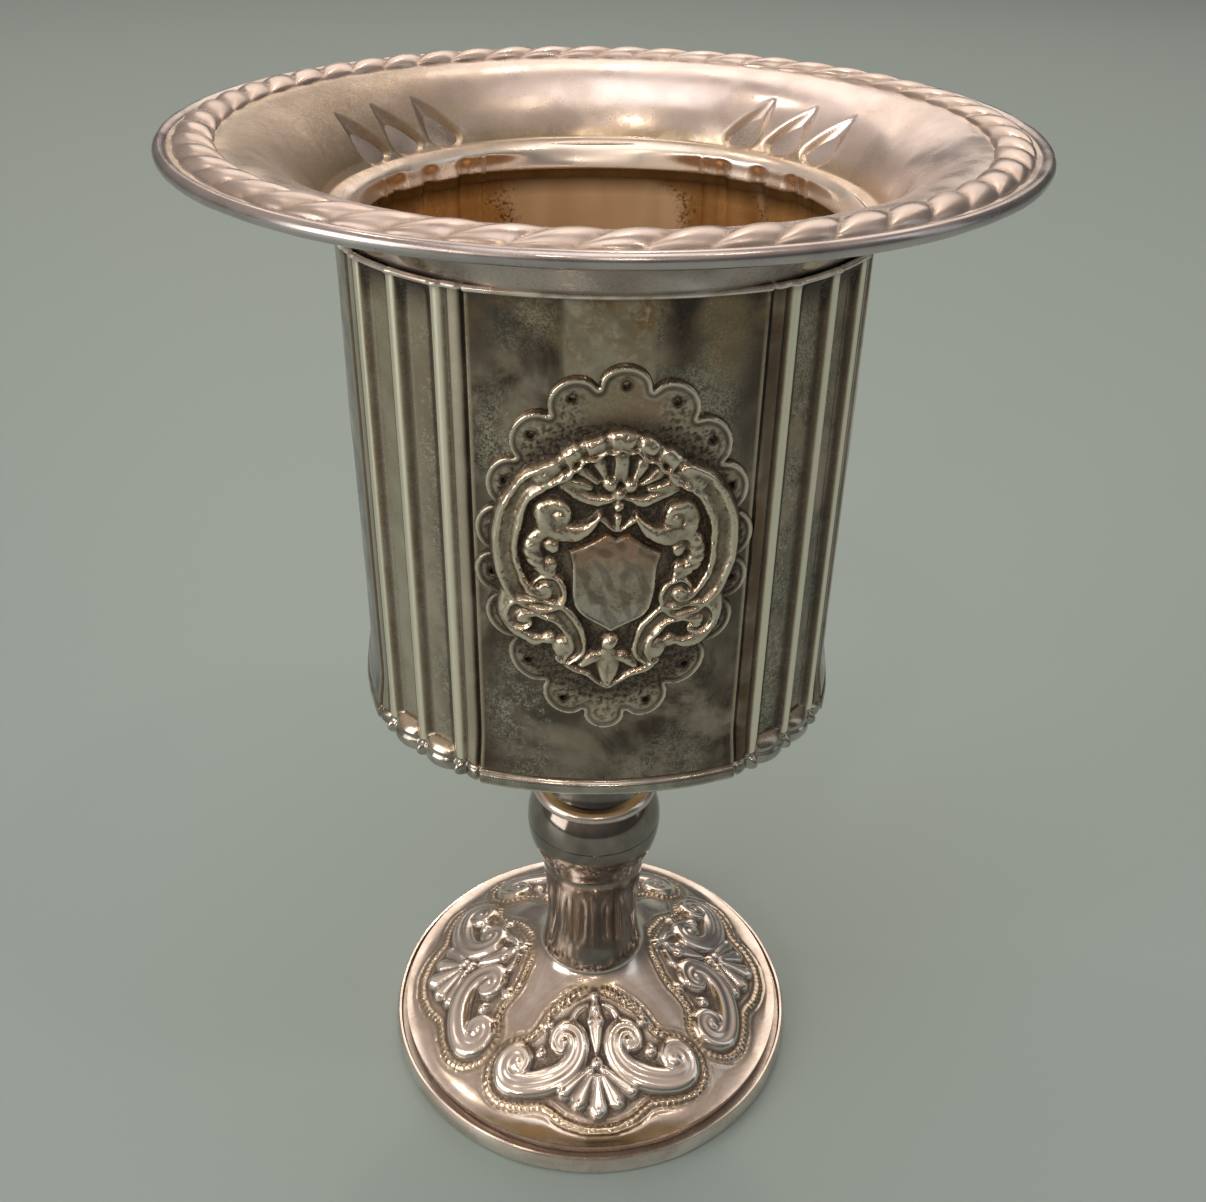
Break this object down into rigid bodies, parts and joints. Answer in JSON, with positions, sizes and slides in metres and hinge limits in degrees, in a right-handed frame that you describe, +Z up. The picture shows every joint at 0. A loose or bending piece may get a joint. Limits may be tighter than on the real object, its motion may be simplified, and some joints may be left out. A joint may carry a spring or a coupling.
{
  "type": "ceremonial goblet",
  "caption": "Silver ceremonial goblet: fluted straight bowl with applied plaques, wide flared gadrooned rim, knopped stem and embossed domed foot.",
  "frame": {"origin": "centre of the foot's resting face, on the goblet's axis", "axes": "+Z up along the goblet's axis; the front plaque faces -Y"},
  "size_m": [0.1012, 0.1012, 0.151],
  "materials": {
    "rim_silver": "polished silver plate with a warm tarnish in the hollows",
    "bowl_silver": "polished silver plate with a dark speckled tarnish outside and a worn gilt wash inside",
    "moulding_silver": "silver plate worn to a coppery line",
    "gilt_silver": "worn gilt wash with streaks and specks",
    "plaque_silver": "stamped silver with dark oxidised hollows and rubbed bright crests",
    "stem_silver": "mirror-polished silver plate, darkened",
    "foot_silver": "polished embossed silver plate, tarnished in the hollows",
    "screw_steel": "plain turned steel",
    "screw_brass": "dull unpolished brass"
  },
  "bodies": {
    "root": {"rim_wire": "rim_silver", "gadroon_border": "rim_silver", "rim_flange": "rim_silver", "neck_ring": "rim_silver", "bowl_wall": "bowl_silver", "base_moulding": "moulding_silver", "bowl_floor": "gilt_silver", "bowl_socket": "stem_silver", "pierced_plate_front": "plaque_silver", "scroll_frame_front": "plaque_silver", "blank_shield_front": "plaque_silver", "pierced_plate_back": "plaque_silver", "scroll_frame_back": "plaque_silver", "blank_shield_back": "plaque_silver", "stem_neck": "stem_silver", "knop_collar": "stem_silver", "knop_upper_shell": "stem_silver", "knop_lower_shell": "stem_silver", "stem_tube": "stem_silver", "foot_dome": "foot_silver", "foot_step_ring": "moulding_silver", "foot_ring": "rim_silver", "tie_rod": "screw_steel", "clamp_plate": "screw_brass", "clamp_washer": "screw_steel", "clamp_nut": "screw_brass"}
  },
  "joints": []
}
